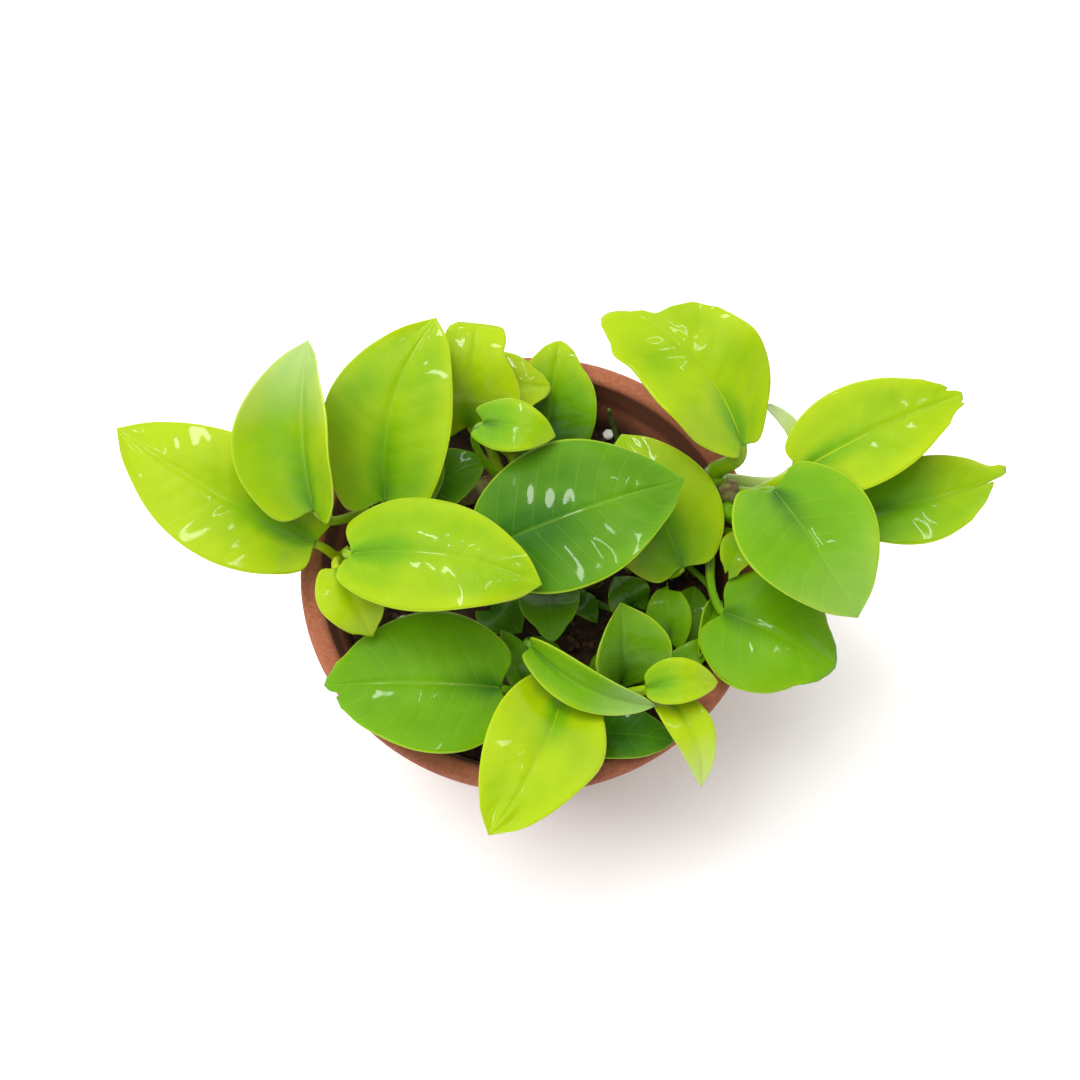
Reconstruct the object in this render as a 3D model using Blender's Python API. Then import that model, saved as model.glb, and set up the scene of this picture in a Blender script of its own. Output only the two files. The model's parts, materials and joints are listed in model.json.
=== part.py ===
"""Potted anubias: a bushy plant of heart-shaped leaves in a tapered terracotta pot.

Frame: metres, +Z up, origin at the centre of the pot's underside, on the pot's axis.
The pot holds potting soil. Creeping rhizomes lie on the soil, and each leaf grows from one
of them on its own stalk. A leaf is one closed solid: stalk, midrib and blade grown as one.
"""

import math
from dataclasses import dataclass

import bmesh
import bpy
from mathutils import Vector

MM = 0.001

# Pot
POT_HEIGHT = 95 * MM
RIM_DIAMETER = 140 * MM
BASE_DIAMETER = 92 * MM
WALL = 6.5 * MM
POT_FLOOR = 8 * MM
RIM_ROUNDING = 1.6 * MM
POT_SIDES = 48
DRAIN_HOLE_DIAMETER = 10 * MM
DRAIN_HOLE_COUNT = 3
DRAIN_CIRCLE_RADIUS = 22 * MM

# Soil
SOIL_DEPTH = 20 * MM  # from the rim down to the soil
SOIL_HOLLOWS = 0.5 * MM
PERLITE_DIAMETER = 3.6 * MM
SEAT_GAP = 0.3 * MM  # clearance kept where one piece rests on another

# Plant
RHIZOME_DIAMETER = 8 * MM
STALK_DIAMETER = 3.0 * MM
BLADE_THICKNESS = 0.8 * MM
BARE_STALK_DIAMETER = 2.2 * MM

# The plant has filled its pot, so it is grown to the rim. Its places are in millimetres for a
# 140 mm rim, from the rim's centre: x right, y back, h above the plane of the rim.
GROWTH = RIM_DIAMETER / 140
SOIL_H = -SOIL_DEPTH / GROWTH


def grown(x, y, h):
    """A place in the plant as a point of the frame."""
    return Vector((x * GROWTH, y * GROWTH, POT_HEIGHT + h * GROWTH))


@dataclass
class Rhizome:
    """A creeping stem. It starts on the soil and bends past its middle to its growing end."""

    name: str
    start: tuple  # x, y
    middle: tuple  # x, y, h
    end: tuple  # x, y, h


@dataclass
class Leaf:
    """A leaf: where its stalk leaves the rhizome, and where its blade starts and ends."""

    name: str
    rhizome: str
    along: float  # 0 at the rhizome's start, 1 at its growing end
    base: tuple  # x, y, h where the stalk meets the blade
    tip: tuple  # x, y, h
    width: float  # mm across the blade
    roll: float = 0  # degrees that the left half is turned up about the midrib
    cup: float = 8  # degrees that each half rises from the midrib
    arch: float = 4  # mm that the midrib bows up
    bend: float = 0  # mm that the midrib bows to the left
    lobe: float = 3  # mm that the base lobes reach back past the stalk
    peak: float = 0.37  # where along the blade it is widest
    blunt: float = 0  # share of the full width that is left at a torn tip
    stalk: float = 1  # thickness of the stalk, as a share of STALK_DIAMETER
    leave: tuple = ()  # direction in which the stalk leaves the rhizome
    arrive: float = 0.45  # how far the stalk has turned into line with the blade


ON_SOIL = SOIL_H + 4
RHIZOMES = [
    Rhizome("rhizome_left", (-28, 3), (-44, 6, ON_SOIL), (-54, 8, 3)),
    Rhizome("rhizome_right", (32, 10), (52, 15, ON_SOIL), (60, 20, 15)),
    Rhizome("rhizome_centre", (-14, -4), (4, 2, ON_SOIL), (22, 1, ON_SOIL)),
    Rhizome("rhizome_front", (-18, -32), (4, -36, ON_SOIL), (30, -32, ON_SOIL)),
    Rhizome("rhizome_back", (-34, 26), (-14, 33, ON_SOIL), (6, 33, ON_SOIL)),
]

LEAVES = [
    # Left group, standing over the left of the rim
    Leaf("leaf_far_left", "rhizome_left", 0.89, (-64, 2, 14), (-122, 32, 30), 39,
         bend=3, cup=6, leave=(-1, -0.2, 0.5)),
    Leaf("leaf_left_upright", "rhizome_left", 0.89, (-63, 6, 30), (-64, 50, 52), 42,
         roll=-32, cup=30, leave=(-0.2, 0.8, 0.8)),
    Leaf("leaf_left_heart", "rhizome_left", 0.72, (-43, 12, 22), (-28, 63, 40), 37,
         bend=5, lobe=6, leave=(0.3, 0.8, 0.6)),
    Leaf("leaf_left_ovate", "rhizome_left", 0.84, (-51, -10, 38), (3, -20, 40), 34,
         bend=2.5, cup=-4, leave=(0.5, -0.4, 1)),
    Leaf("leaf_left_small", "rhizome_left", 0.8, (-56, -11, 28), (-46, -30, 22), 20,
         blunt=0.35, lobe=1, leave=(-0.5, -0.9, 0.3)),
    Leaf("leaf_left_shaded", "rhizome_left", 0.45, (-36, 20, 2), (-28, 36, 8), 14,
         stalk=0.8, leave=(0, 0.9, 0.6)),
    # Right group, leaning over the right of the rim
    Leaf("leaf_back_right_torn", "rhizome_right", 0.9, (62, 27, 28), (32, 62, 42), 38,
         peak=0.5, blunt=0.85, bend=-4, stalk=1.3, leave=(-0.35, 0.8, 0.5)),
    Leaf("leaf_new_sheath", "rhizome_right", 0.79, (79, 25, 12), (70, 42, 24), 7,
         cup=55, arch=0, bend=-4, lobe=0, leave=(0.17, 1, 0.6)),
    Leaf("leaf_right_torn", "rhizome_right", 0.9, (79, 21, 24), (126, 41, 34), 32,
         blunt=0.4, stalk=1.2, leave=(1, 0.17, 0.5)),
    Leaf("leaf_far_right_split", "rhizome_right", 0.81, (98, 12, 12), (142, 23, 16), 27,
         blunt=0.2, bend=-2.5, leave=(0.87, -0.5, 0.6)),
    Leaf("leaf_right_heart", "rhizome_right", 0.9, (71, 14, 26), (93, -26, 28), 41,
         lobe=6, leave=(0.1, -1, 0.3)),
    Leaf("leaf_right_lower", "rhizome_right", 0.62, (57, -17, 6), (89, -35, 8), 40,
         cup=-6, leave=(0.4, -1, 0.3)),
    Leaf("leaf_right_edge", "rhizome_right", 0.35, (56, -10, -5), (50, -29, -2), 9,
         cup=50, lobe=0, arch=3, stalk=0.7, leave=(0.3, -1, 0.2)),
    Leaf("leaf_right_jagged", "rhizome_right", 0.38, (64, 7, 5), (58, -7, 6), 11,
         blunt=0.5, lobe=1, stalk=0.8, leave=(-0.6, -0.4, 0.9)),
    # Centre
    Leaf("leaf_centre_broad", "rhizome_centre", 0.2, (-11, -4, 28), (44, 14, 34), 45,
         cup=4, leave=(0, 0, 1)),
    Leaf("leaf_centre_right", "rhizome_centre", 0.89, (45, -3, 6), (27, 36, 16), 37,
         leave=(0.3, 0.6, 0.8)),
    Leaf("leaf_inner_round", "rhizome_centre", 0.4, (5, -9, 4), (6, -27, 8), 18,
         stalk=0.8, leave=(0, -0.6, 1)),
    Leaf("leaf_inner_left", "rhizome_centre", 0.78, (30, -12, -4), (25, -4, 0), 14,
         stalk=0.7, leave=(0.2, -0.8, 0.8)),
    Leaf("leaf_inner_small", "rhizome_centre", 0.55, (14, -9, -9), (20, -16, -8), 8,
         stalk=0.6, leave=(0.2, -1, 0.4)),
    Leaf("leaf_inner_low", "rhizome_centre", 0.12, (-12, -12, -8), (-3, -20, -5), 15,
         stalk=0.7, leave=(-0.3, -0.9, 0.3)),
    # Front
    Leaf("leaf_inner_right", "rhizome_front", 0.78, (41, -23, -5), (41, -5, -1), 14,
         blunt=0.3, stalk=0.8, leave=(0.2, 1, 0.6)),
    Leaf("leaf_inner_shaded", "rhizome_front", 0.89, (46, -24, -14), (50, -3, -11), 16,
         arch=2, stalk=0.8, leave=(0.2, 1, 0.2)),
    Leaf("leaf_rim_shaded", "rhizome_front", 0.85, (40, -34, -6), (55, -22, -5), 9,
         arch=2, stalk=0.7, leave=(0, 0, 1)),
    Leaf("leaf_inner_cupped", "rhizome_front", 0.7, (26, -37, -6), (26, -18, 18), 28,
         cup=32, roll=20, peak=0.6, blunt=0.3, lobe=0, leave=(0, 0, 1)),
    Leaf("leaf_front_curled", "rhizome_front", 0.6, (0, -32, 20), (36, -48, 14), 15,
         cup=35, roll=20, bend=-4, stalk=0.8, leave=(0, 1, 0.4)),
    Leaf("leaf_front", "rhizome_front", 0.5, (9, -44, 13), (-12, -87, 20), 34,
         bend=3, leave=(0, -1, 0.3)),
    Leaf("leaf_front_dark", "rhizome_front", 0.62, (16, -52, -2), (42, -55, 1), 17,
         arch=3, lobe=1, leave=(0.2, -1, 0.3)),
    Leaf("leaf_front_left_broad", "rhizome_front", 0.22, (-9, -42, 12), (-60, -42, 14), 43,
         blunt=0.1, cup=5, leave=(0, -0.8, 1)),
    Leaf("leaf_front_narrow", "rhizome_front", 0.12, (-10, -38, 0), (-16, -23, 12), 7,
         cup=50, lobe=0, stalk=0.7, leave=(0.2, 0.2, 1)),
    Leaf("leaf_front_slim", "rhizome_front", 0.32, (-2, -36, -4), (-9, -22, 4), 11,
         cup=20, stalk=0.7, leave=(0, 0.5, 1)),
    Leaf("leaf_front_right_upper", "rhizome_front", 0.79, (33, -43, 16), (54, -41, 14), 14,
         lobe=1, stalk=0.8, leave=(0.6, -0.6, 0.5)),
    Leaf("leaf_front_right_hanging", "rhizome_front", 0.89, (37, -44, 10), (49, -70, 6), 13,
         bend=4, lobe=1, stalk=0.8, leave=(0.3, -1, 0.3)),
    # Back
    Leaf("leaf_back_folded", "rhizome_back", 0.74, (-19, 42, 8), (-16, 66, 30), 27,
         arch=8, blunt=0.6, leave=(0, 1, 0.4)),
    Leaf("leaf_back_lobe", "rhizome_back", 0.6, (-16, 53, 4), (6, 54, 10), 21,
         lobe=0, leave=(0, 0.9, 0.5)),
    Leaf("leaf_back_dark", "rhizome_back", 0.88, (4, 41, -8), (9, 71, 8), 27,
         blunt=0.3, leave=(0, 0.9, 0.5)),
    Leaf("leaf_curled_flap", "rhizome_back", 0.68, (-14, 30, 38), (7, 25, 40), 16,
         cup=0, roll=10, stalk=0.8, leave=(0.3, -0.5, 1)),
    Leaf("leaf_inner_back", "rhizome_back", 0.15, (-36, 22, -3), (-14, 33, 3), 20,
         leave=(-0.5, -0.2, 1)),
]

# Grains of perlite on the soil, x and y
GRAINS = [(24.5, 50.5), (29, 47.5), (6, -14), (-40, -12), (14, 16)]

# A stalk that has lost its leaf, standing by the back wall
BARE_STALK_FOOT = (29, 43, SOIL_H)
BARE_STALK_TOP = (24, 50, 3)

# How full an ovate blade is towards its base and its tip
OVATE_BASE = 0.45
OVATE_TIP = 0.78
OVATE_PEAK = OVATE_BASE / (OVATE_BASE + OVATE_TIP)

BLADE_STATIONS = (0.04, 0.12, 0.24, 0.38, 0.52, 0.66, 0.80, 0.92)
STALK_STATIONS = (0.0, 0.2, 0.4, 0.6, 0.8, 1.0)
# A section has eight points: its two margins, three on its upper face, three below
ACROSS = (1.0, 0.5, 0.0, -0.5, -1.0, -0.5, 0.0, 0.5)
FACE = (0, 1, 1, 1, 0, -1, -1, -1)
SECTION_POINTS = len(ACROSS)


def inner_radius(height):
    """The pot's inner radius at a height above its underside."""
    base = BASE_DIAMETER / 2
    outer = base + (RIM_DIAMETER / 2 - base) * height / POT_HEIGHT
    return outer - WALL


def principled(name, color, roughness):
    """A plain finish."""
    material = bpy.data.materials.new(name)
    material.use_nodes = True
    shader = material.node_tree.nodes["Principled BSDF"]
    shader.inputs["Base Color"].default_value = (*color, 1)
    shader.inputs["Roughness"].default_value = roughness
    shader.inputs["Metallic"].default_value = 0
    return material


def add_object(name, bm, material):
    """Turns a closed bmesh into a named object."""
    bmesh.ops.recalc_face_normals(bm, faces=bm.faces[:])
    mesh = bpy.data.meshes.new(name)
    bm.to_mesh(mesh)
    bm.free()
    mesh.shade_smooth()
    mesh.set_sharp_from_angle(angle=math.radians(40))
    mesh.materials.append(material)
    obj = bpy.data.objects.new(name, mesh)
    bpy.context.collection.objects.link(obj)
    return obj


def turned(profile, sides, lift=None):
    """A body turned about Z from a profile of (radius, z), whose two ends lie on the axis."""
    bm = bmesh.new()
    rings = []
    for radius, z in profile[1:-1]:
        ring = []
        for side in range(sides):
            angle = 2 * math.pi * side / sides
            x = radius * math.cos(angle)
            y = radius * math.sin(angle)
            ring.append(bm.verts.new((x, y, z + lift(x, y, z) if lift else z)))
        rings.append(ring)
    first = bm.verts.new((0, 0, profile[0][1]))
    last = bm.verts.new((0, 0, profile[-1][1]))
    loft(bm, rings, first, last)
    return bm


def loft(bm, rings, first=None, last=None):
    """Skins rings of equal count. An end closes to a point, or to a flat cap."""
    count = len(rings[0])
    for ring, following in zip(rings, rings[1:]):
        for i in range(count):
            j = (i + 1) % count
            bm.faces.new((ring[i], ring[j], following[j], following[i]))
    for point, ring in ((first, rings[0]), (last, rings[-1])):
        if point is None:
            bm.faces.new(ring)
            continue
        for i in range(count):
            bm.faces.new((ring[i], ring[(i + 1) % count], point))


def arc(center, radius, start, end, steps):
    """Points of a round edge, as (radius, z)."""
    points = []
    for step in range(steps + 1):
        angle = math.radians(start + (end - start) * step / steps)
        points.append((center[0] + radius * math.cos(angle), center[1] + radius * math.sin(angle)))
    return points


def make_pot(material):
    """A thrown terracotta pot: tapered wall, rounded rim, flat foot with drain holes."""
    rim = RIM_DIAMETER / 2
    top = POT_HEIGHT - RIM_ROUNDING
    outer_edge = arc((rim - RIM_ROUNDING, top), RIM_ROUNDING, 0, 90, 3)
    inner_edge = arc((rim - WALL + RIM_ROUNDING, top), RIM_ROUNDING, 90, 180, 3)
    foot = arc((BASE_DIAMETER / 2 - RIM_ROUNDING, RIM_ROUNDING), RIM_ROUNDING, -90, 0, 2)
    profile = [(0, 0), *foot, *outer_edge, *inner_edge]
    profile += [(inner_radius(POT_FLOOR), POT_FLOOR), (0, POT_FLOOR)]
    pot = add_object("pot", turned(profile, POT_SIDES), material)
    for index in range(DRAIN_HOLE_COUNT):
        angle = 2 * math.pi * (index + 0.25) / DRAIN_HOLE_COUNT
        place = (DRAIN_CIRCLE_RADIUS * math.cos(angle), DRAIN_CIRCLE_RADIUS * math.sin(angle))
        bpy.ops.mesh.primitive_cylinder_add(
            vertices=16, radius=DRAIN_HOLE_DIAMETER / 2, depth=3 * POT_FLOOR,
            location=(*place, POT_FLOOR / 2))
        cutter = bpy.context.object
        cutter.name = f"drain_cutter_{index + 1}"
        cutter.hide_render = True
        cutter.display_type = "WIRE"
        hole = pot.modifiers.new("drain", "BOOLEAN")
        hole.operation = "DIFFERENCE"
        hole.object = cutter


def soil_hollow(x, y):
    """How far the soil's surface dips below its level, from 0 to 1."""
    wave = math.sin(x / (7 * MM)) * math.cos(y / (9 * MM)) + math.sin((x + y) / (5 * MM))
    return 0.5 + wave / 4


def make_soil(material):
    """Potting soil: it fills the pot to its level, a hair clear of the clay."""
    level = POT_HEIGHT - SOIL_DEPTH
    bottom = POT_FLOOR + SEAT_GAP
    edge = inner_radius(level) - SEAT_GAP
    profile = [(0, bottom), (inner_radius(bottom) - SEAT_GAP, bottom), (edge, level)]
    profile += [(edge * share, level) for share in (0.85, 0.65, 0.45, 0.25)]
    profile.append((0, level))

    def lift(x, y, z):
        on_top = z > level - SEAT_GAP and math.hypot(x, y) < 0.9 * edge
        return -SOIL_HOLLOWS * soil_hollow(x, y) if on_top else 0

    add_object("soil", turned(profile, POT_SIDES, lift), material)


def rhizome_place(rhizome, t):
    """Centre and direction of a rhizome at t, from 0 at its start to 1 at its end."""
    start = grown(*rhizome.start, SOIL_H)
    start.z += RHIZOME_DIAMETER / 2 + SEAT_GAP
    middle = grown(*rhizome.middle)
    end = grown(*rhizome.end)
    middle.z = max(middle.z, start.z)
    end.z = max(end.z, start.z)
    place = (1 - t) ** 2 * start + 2 * t * (1 - t) * middle + t * t * end
    direction = (1 - t) * (middle - start) + t * (end - middle)
    return place, direction.normalized()


def round_ring(bm, center, direction, side, radius):
    """A ring of section points square to a direction."""
    side = (side - side.dot(direction) * direction).normalized()
    up = direction.cross(side)
    ring = []
    for i in range(SECTION_POINTS):
        angle = 2 * math.pi * i / SECTION_POINTS
        offset = math.cos(angle) * side + math.sin(angle) * up
        ring.append(bm.verts.new(center + radius * offset))
    return ring


def make_rhizome(rhizome, material):
    """A knobbly creeping stem, thinner between its old leaf scars."""
    bm = bmesh.new()
    rings = []
    stations = 9
    for i in range(stations + 1):
        t = i / stations
        place, direction = rhizome_place(rhizome, t)
        thinning = 0 if i % 2 else 0.07
        end_taper = 0.45 if i in (0, stations) else 0
        radius = RHIZOME_DIAMETER / 2 * (1 - thinning - end_taper)
        rings.append(round_ring(bm, place, direction, Vector((0, 0, 1)).cross(direction), radius))
    loft(bm, rings)
    add_object(rhizome.name, bm, material)


def make_bare_stalk(material):
    """A stalk that has lost its leaf: it leans to the back wall and thins to its top."""
    foot = grown(*BARE_STALK_FOOT) + Vector((0, 0, SEAT_GAP))
    top = grown(*BARE_STALK_TOP)
    rise = (top - foot).z
    curve = (foot, foot + Vector((0, 0, rise / 3)), top - Vector((0, 0, rise / 3)), top)
    bm = bmesh.new()
    rings = []
    stations = 6
    for i in range(stations + 1):
        t = i / stations
        radius = BARE_STALK_DIAMETER / 2 * (1 - 0.35 * t)
        direction = bezier_tangent(*curve, t)
        rings.append(round_ring(bm, bezier(*curve, t), direction, Vector((1, 0, 0)), radius))
    loft(bm, rings)
    add_object("bare_stalk", bm, material)


def bezier(p0, p1, p2, p3, t):
    """A point on a cubic curve."""
    s = 1 - t
    return s ** 3 * p0 + 3 * s * s * t * p1 + 3 * s * t * t * p2 + t ** 3 * p3


def bezier_tangent(p0, p1, p2, p3, t):
    """The direction of a cubic curve."""
    s = 1 - t
    slope = s * s * (p1 - p0) + 2 * s * t * (p2 - p1) + t * t * (p3 - p2)
    return slope.normalized()


def half_width_share(u, peak, blunt):
    """Share of a blade's half-width at u, from 0 at its base to 1 at its tip."""
    moved = u ** (math.log(OVATE_PEAK) / math.log(peak))
    ovate = moved ** OVATE_BASE * (1 - moved) ** OVATE_TIP
    full = OVATE_PEAK ** OVATE_BASE * (1 - OVATE_PEAK) ** OVATE_TIP
    return max(ovate / full, blunt * min(1, 4 * u))


class Blade:
    """The blade's own frame: ahead to its tip, left across it, up off its upper face."""

    def __init__(self, leaf):
        self.leaf = leaf
        self.base = grown(*leaf.base)
        span = grown(*leaf.tip) - self.base
        self.length = span.length
        self.ahead = span.normalized()
        level_left = Vector((0, 0, 1)).cross(self.ahead).normalized()
        roll = math.radians(leaf.roll)
        level_up = self.ahead.cross(level_left)
        self.left = math.cos(roll) * level_left + math.sin(roll) * level_up
        self.up = self.ahead.cross(self.left)

    def midrib(self, u):
        """A point of the midrib."""
        bow = 4 * u * (1 - u) * GROWTH
        return (self.base + self.ahead * self.length * u
                + self.up * bow * self.leaf.arch + self.left * bow * self.leaf.bend)

    def point(self, u, across, face):
        """A point of the blade's section at u. Face is 1 above, -1 below, 0 on a margin."""
        leaf = self.leaf
        half = leaf.width / 2 * GROWTH * half_width_share(u, leaf.peak, leaf.blunt)
        cup = math.radians(leaf.cup)
        sideways = half * across * math.cos(cup)
        rise = half * abs(across) ** 1.4 * math.sin(cup)
        back = leaf.lobe * GROWTH * across ** 2 * (1 - u) ** 4
        thickness = face * BLADE_THICKNESS / 2
        return (self.midrib(u) + self.left * sideways + self.up * (rise + thickness)
                - self.ahead * back)


def make_leaf(leaf, rhizome, material):
    """One leaf: a round stalk that opens into a thin blade, closed at foot and tip."""
    blade = Blade(leaf)
    center, along = rhizome_place(rhizome, leaf.along)
    leave = Vector(leaf.leave)
    leave = (leave - leave.dot(along) * along).normalized()
    foot = center + leave * (RHIZOME_DIAMETER / 2 + SEAT_GAP)
    reach = (blade.base - foot).length
    straight = (blade.base - foot).normalized()
    arrive = (straight * (1 - leaf.arrive) + blade.ahead * leaf.arrive).normalized()
    curve = (foot, foot + leave * reach * 0.4, blade.base - arrive * reach * 0.4, blade.base)

    bm = bmesh.new()
    side = blade.left
    stalk_rings = []
    for t in reversed(STALK_STATIONS):
        direction = bezier_tangent(*curve, t)
        side = (side - side.dot(direction) * direction).normalized()
        sheath = 1 + 0.35 * (1 - t) ** 3
        radius = STALK_DIAMETER / 2 * leaf.stalk * sheath * (1 - 0.15 * t)
        stalk_rings.append(round_ring(bm, bezier(*curve, t), direction, side, radius))
    rings = stalk_rings[::-1]
    for u in BLADE_STATIONS:
        points = [blade.point(u, across, face) for across, face in zip(ACROSS, FACE)]
        rings.append([bm.verts.new(point) for point in points])
    tip = bm.verts.new(blade.point(1, 0, 0))
    loft(bm, rings, last=tip)
    add_object(leaf.name, bm, material)


def make_grain(index, x, y, material):
    """A grain of perlite lying on the soil."""
    radius = PERLITE_DIAMETER / 2
    place = grown(x, y, SOIL_H)
    place.z += radius * 0.8 + SEAT_GAP
    bm = bmesh.new()
    bmesh.ops.create_icosphere(bm, subdivisions=1, radius=radius)
    for i, vert in enumerate(bm.verts):
        squeeze = 1 - 0.16 * math.sin(2.3 * i + index)
        vert.co.x *= squeeze
        vert.co.y *= 2 - squeeze
        vert.co.z *= 0.8
        vert.co += place
    add_object(f"perlite_{index + 1}", bm, material)


def build():
    """Makes every piece."""
    for obj in list(bpy.data.objects):
        bpy.data.objects.remove(obj)

    terracotta = principled("terracotta", (0.48, 0.18, 0.10), 0.85)
    earth = principled("potting_soil", (0.030, 0.018, 0.012), 0.95)
    perlite = principled("perlite", (0.85, 0.85, 0.82), 0.9)
    stem_green = principled("rhizome_green", (0.22, 0.30, 0.05), 0.5)

    make_pot(terracotta)
    make_soil(earth)
    by_name = {}
    for rhizome in RHIZOMES:
        make_rhizome(rhizome, stem_green)
        by_name[rhizome.name] = rhizome
    for leaf in LEAVES:
        leaf_green = principled(leaf.name, (0.30, 0.55, 0.02), 0.3)
        make_leaf(leaf, by_name[leaf.rhizome], leaf_green)
    make_bare_stalk(stem_green)
    for index, (x, y) in enumerate(GRAINS):
        make_grain(index, x, y, perlite)


build()
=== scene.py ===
"""A potted anubias: glossy golden-green leaves on creeping rhizomes in a terracotta pot."""

import json
import math
import random

import bpy
import bmesh
import numpy as np
from mathutils import Matrix, Vector, noise

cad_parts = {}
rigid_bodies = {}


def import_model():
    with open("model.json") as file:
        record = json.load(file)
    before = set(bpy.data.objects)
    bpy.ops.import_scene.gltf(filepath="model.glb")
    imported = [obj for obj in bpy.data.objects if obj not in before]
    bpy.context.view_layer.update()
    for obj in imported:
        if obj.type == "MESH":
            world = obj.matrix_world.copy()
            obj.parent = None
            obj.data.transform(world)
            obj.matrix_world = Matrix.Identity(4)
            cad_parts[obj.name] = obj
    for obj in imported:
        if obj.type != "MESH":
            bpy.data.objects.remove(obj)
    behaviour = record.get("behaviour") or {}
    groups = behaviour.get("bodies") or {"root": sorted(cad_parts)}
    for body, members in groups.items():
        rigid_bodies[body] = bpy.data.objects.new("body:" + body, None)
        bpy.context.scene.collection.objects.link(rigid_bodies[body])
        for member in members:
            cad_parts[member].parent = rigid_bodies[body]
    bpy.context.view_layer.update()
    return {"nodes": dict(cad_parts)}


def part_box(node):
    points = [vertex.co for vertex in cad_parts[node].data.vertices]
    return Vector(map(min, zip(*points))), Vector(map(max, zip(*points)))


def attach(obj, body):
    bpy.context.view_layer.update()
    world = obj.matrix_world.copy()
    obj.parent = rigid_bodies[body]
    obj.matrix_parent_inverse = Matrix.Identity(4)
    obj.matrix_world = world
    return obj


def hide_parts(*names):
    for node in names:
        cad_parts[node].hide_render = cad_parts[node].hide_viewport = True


for leftover in list(bpy.data.objects):
    bpy.data.objects.remove(leftover)
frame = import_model()
bpy.ops.object.select_all(action="DESELECT")

# The view: a steep look down into the pot from its front, over a white table, with daylight
# from a window up and to the left behind the plant and a pale room all round.
rim_centre = Vector((0, 0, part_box("pot")[1].z))
steepness = math.radians(70.6)
view_distance = 0.6
camera_data = bpy.data.cameras.new("view")
camera = bpy.data.objects.new("view", camera_data)
bpy.context.scene.collection.objects.link(camera)
backward = Vector((0, -math.cos(steepness), math.sin(steepness)))
camera.location = rim_centre + view_distance * backward
camera.rotation_euler = (rim_centre - camera.location).to_track_quat("-Z", "Y").to_euler()
camera_data.sensor_width = 36
camera_data.lens = 66.06
camera_data.shift_x = 0.0078
camera_data.shift_y = 0.0228
camera_data.clip_start = 0.01
bpy.context.scene.camera = camera
bpy.context.scene.view_settings.view_transform = "Standard"

room = bpy.data.worlds.new("pale_room")
room.use_nodes = True
walls = room.node_tree.nodes["Background"]
walls.inputs["Color"].default_value = (1.0, 0.99, 0.975, 1)
height = room.node_tree.nodes.new("ShaderNodeSeparateXYZ")
direction = room.node_tree.nodes.new("ShaderNodeTexCoord")
room.node_tree.links.new(direction.outputs["Generated"], height.inputs[0])
fade = room.node_tree.nodes.new("ShaderNodeMapRange")
fade.interpolation_type = "SMOOTHSTEP"
fade.inputs["From Min"].default_value = 0.45
fade.inputs["From Max"].default_value = 0.90
fade.inputs["To Min"].default_value = 1.25
fade.inputs["To Max"].default_value = 0.06
room.node_tree.links.new(height.outputs["Z"], fade.inputs["Value"])
room.node_tree.links.new(fade.outputs[0], walls.inputs["Strength"])
bpy.context.scene.world = room


def add_window(name, place, size, watts, color, mirrored=True):
    """A soft light that faces the plant. Glossy leaves mirror it unless told not to."""
    data = bpy.data.lights.new(name, "AREA")
    data.shape = "RECTANGLE"
    data.size, data.size_y = size
    data.energy = watts
    data.color = color
    light = bpy.data.objects.new(name, data)
    light.location = place
    light.visible_glossy = mirrored
    aim = Vector((0, 0, 0.1)) - light.location
    light.rotation_euler = aim.to_track_quat("-Z", "Y").to_euler()
    bpy.context.scene.collection.objects.link(light)


add_window("window", (-0.36, 0.42, 1.55), (0.11, 0.30), 3.2, (1.0, 0.985, 0.96))
add_window("skylight", (0.05, 0.52, 1.42), (0.03, 0.18), 0.45, (1.0, 1.0, 1.0))
add_window("doorway", (0.34, 0.34, 1.35), (0.04, 0.34), 0.8, (1.0, 1.0, 1.0))
add_window("ceiling", (-0.42, 0.24, 1.6), (1.5, 1.5), 46, (1.0, 0.99, 0.975), mirrored=False)

bpy.ops.mesh.primitive_plane_add(size=12, location=(0, 0, 0))
table_top = bpy.context.object
table_top.name = "table_top"
paint = bpy.data.materials.new("white_table")
paint.use_nodes = True
paint.node_tree.nodes["Principled BSDF"].inputs["Base Color"].default_value = (0.93, 0.925, 0.92, 1)
paint.node_tree.nodes["Principled BSDF"].inputs["Roughness"].default_value = 0.75
table_top.data.materials.append(paint)


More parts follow.
